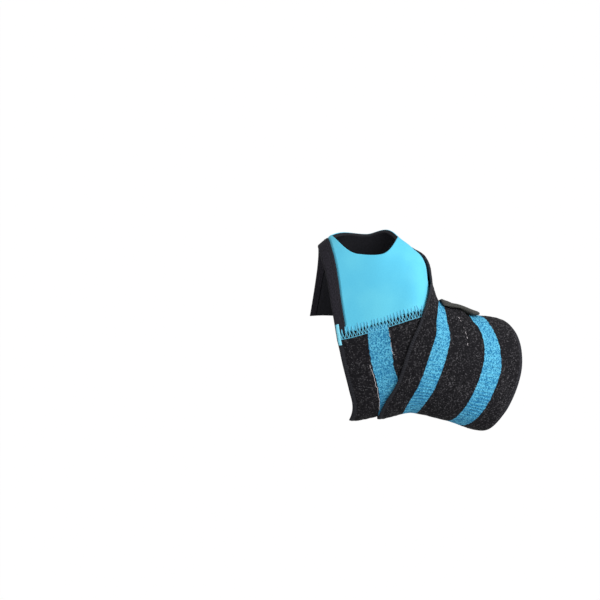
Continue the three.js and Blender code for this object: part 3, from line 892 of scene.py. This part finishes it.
def panel_finish():
    """Light-blue knitted cover over black foam: the mark `cover` tells the faces apart. Beside the
    seam the knit is drawn in between the stitches, with painted shade in those dips, and near-black
    dots by the seam are part the dark cloth under the needle holes and part painted shade."""
    f = Finish("light blue padded knit", 0.75)
    place = f.place()
    weave = f.noise(place, 1800.0, 1.0)
    cloud = f.noise(place, 45.0, 2.0)
    blue = f.colour(cloud.ramp(0.3, 0.7), shade(96, 203, 236), shade(108, 213, 240))
    blue = f.colour(weave.ramp(0.3, 0.7) * 0.14, blue, shade(78, 184, 224))
    up, at = f.mark("up"), f.mark("at")
    between_stitches = f.maths("COSINE", (at - FIRST_STITCH) * (2 * math.pi / STITCH_PITCH))
    ragged = f.noise(place, 420.0, 1.0) - 0.5
    # Painted shade: the knit darkens between the stitches, up to about 3 mm from the seam, where the thread
    # draws it into dips.
    drawn = between_stitches.ramp(0.35, 0.95) * (1 - (up + ragged * 4.5).ramp(0.5, 3.0)) * 0.3
    # Near-black dots right by the seam between the stitches: part the dark cloth seen through the needle
    # holes, part painted shade in them.
    needle_holes_and_shade = between_stitches.ramp(-0.1, 0.7) * (1 - (up + ragged).ramp(0.6, 1.2))
    blue = f.colour(drawn, blue, shade(40, 124, 158))
    blue = f.colour(needle_holes_and_shade, blue, shade(14, 30, 40))
    foam = f.colour(f.noise(place, 1200.0), shade(18, 18, 22), shade(40, 40, 46))
    colour = f.colour(f.mark("cover").ramp(0.4, 0.6), foam, blue)
    return f.surface(colour, weave * 0.4 - drawn * 2.0 - needle_holes_and_shade, 0.0002, 0.5)


def tape_finish(name, low, high, pitch=0.0008):
    """Plain dark woven tape, ribbed along its length."""
    f = Finish(name, 0.8)
    uv, along, across = f.cloth()
    wave = f.maths("SINE", along * (2 * math.pi / pitch)) * f.maths("SINE", across * (2 * math.pi / pitch))
    grain = f.noise(uv, 1500.0)
    colour = f.colour((wave * 0.25 + grain).ramp(0.3, 0.8), low, high)
    return f.surface(colour, wave * 0.3 + grain, 0.00015, 0.6)


def thread_finish(name, low, high):
    """Sewing thread, mottled between two tones."""
    f = Finish(name, 0.6)
    return f.surface(f.colour(f.noise(f.place(), 900.0), low, high))


def paint(material, *pieces):
    """One material on each of the pieces."""
    for piece in pieces:
        piece.data.materials.append(material)


# ---------------------------------------------------------------- the object

strap, strap_length = make_strap()
panel, binding, tab = make_panel(), make_binding(), make_tab()
cover_thread = make_threads("seam_cover_thread", seam_threads()[:1], 0.22)
lower_thread = make_threads("seam_lower_thread", seam_threads()[1:], 0.19)
tack = make_threads("seam_bar_tack", tack_threads(), 0.17)
loose = make_threads("loose_pale_threads", drawn_threads(), 0.11)
binding_stitch = make_threads("binding_stitching", binding_threads(), 0.15, binding_top)
tab_stitch = make_threads("tab_stitching", tab_threads(), 0.16, tab_top)

paint(strap_finish(), strap)
paint(panel_finish(), panel)
paint(tape_finish("black binding tape", shade(26, 24, 30), shade(50, 48, 56)), binding)
paint(tape_finish("dark grey hook tape", shade(52, 52, 50), shade(82, 82, 78), 0.0013), tab)
paint(thread_finish("blue thread", shade(84, 180, 216), shade(128, 214, 240)), cover_thread, lower_thread)
paint(thread_finish("light blue thread", shade(120, 210, 236), shade(160, 232, 248)), tack)
paint(thread_finish("pale thread", shade(196, 188, 192), shade(232, 226, 228)), loose)
paint(thread_finish("black thread", shade(30, 28, 34), shade(58, 56, 62)), binding_stitch, tab_stitch)


def flat_area(turns):
    """Square metres of the wound strip between two turns, half a strap's thickness under its outer
    face: each cell of a grid is half as large as the cross product of its two diagonals."""
    turn = np.linspace(*turns, 400)[:, None]
    across = np.linspace(0, 1, 90)[None, :]
    points, _ = over(*strip(turn, across), strap_top(turn, across) - STRAP_THICK / 2)
    points = points * MM
    a, b = points[1:, 1:] - points[:-1, :-1], points[1:, :-1] - points[:-1, 1:]
    return float(np.linalg.norm(np.cross(a, b), axis=-1).sum() / 2)


# ---------------------------------------------------------------- stage


def make_backdrop():
    """A grey floor well below the wrap, and a white wall far behind it."""
    bpy.ops.mesh.primitive_plane_add(size=4.0, location=(0, 0, -0.62))
    floor = bpy.context.object
    floor.name = "floor"
    floor.data.materials.append(Finish("grey floor", 0.9).surface(shade(190, 190, 190)))
    ahead = (math.sin(VIEW_YAW), math.cos(VIEW_YAW))
    bpy.ops.mesh.primitive_plane_add(size=5.0, location=(1.7 * ahead[0], 1.7 * ahead[1], 0),
                                     rotation=(math.pi / 2, 0, -VIEW_YAW))
    wall = bpy.context.object
    wall.name = "wall"
    f = Finish("white wall", 1.0)
    f.shader.inputs["Emission Color"].default_value = (1, 1, 1, 1)
    f.shader.inputs["Emission Strength"].default_value = 1.0
    wall.data.materials.append(f.surface((0.0, 0.0, 0.0)))
    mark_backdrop(floor, wall)


def make_light(name, place, towards, size, watts):
    """A square soft light at a place, turned to face another."""
    data = bpy.data.lights.new(name, "AREA")
    data.shape, data.size, data.energy = "SQUARE", size, watts
    lamp = bpy.data.objects.new(name, data)
    lamp.location = place
    lamp.rotation_euler = (Vector(towards) - Vector(place)).to_track_quat("-Z", "Y").to_euler()
    bpy.context.scene.collection.objects.link(lamp)


def make_world():
    """Even white light from all round."""
    world = bpy.data.worlds.new("white")
    world.use_nodes = True
    background = world.node_tree.nodes["Background"]
    background.inputs["Color"].default_value = (1, 1, 1, 1)
    background.inputs["Strength"].default_value = 0.6
    bpy.context.scene.world = world


make_world()
make_backdrop()
make_light("key", (0.24, -0.92, 0.44), (-0.02, 0, 0), 0.8, 10.3)
bpy.context.scene.view_settings.view_transform = "Standard"

made_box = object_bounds()
({"cad": [list(map(float, c)) for c in cad_box], "made": [list(map(float, c)) for c in made_box],
           "strap_path_m": strap_length * MM,
           "panel_flat_m2": flat_area((PANEL_START, SEAM)),
           "strap_flat_m2": flat_area((SEAM, STRAP_FINISH))})
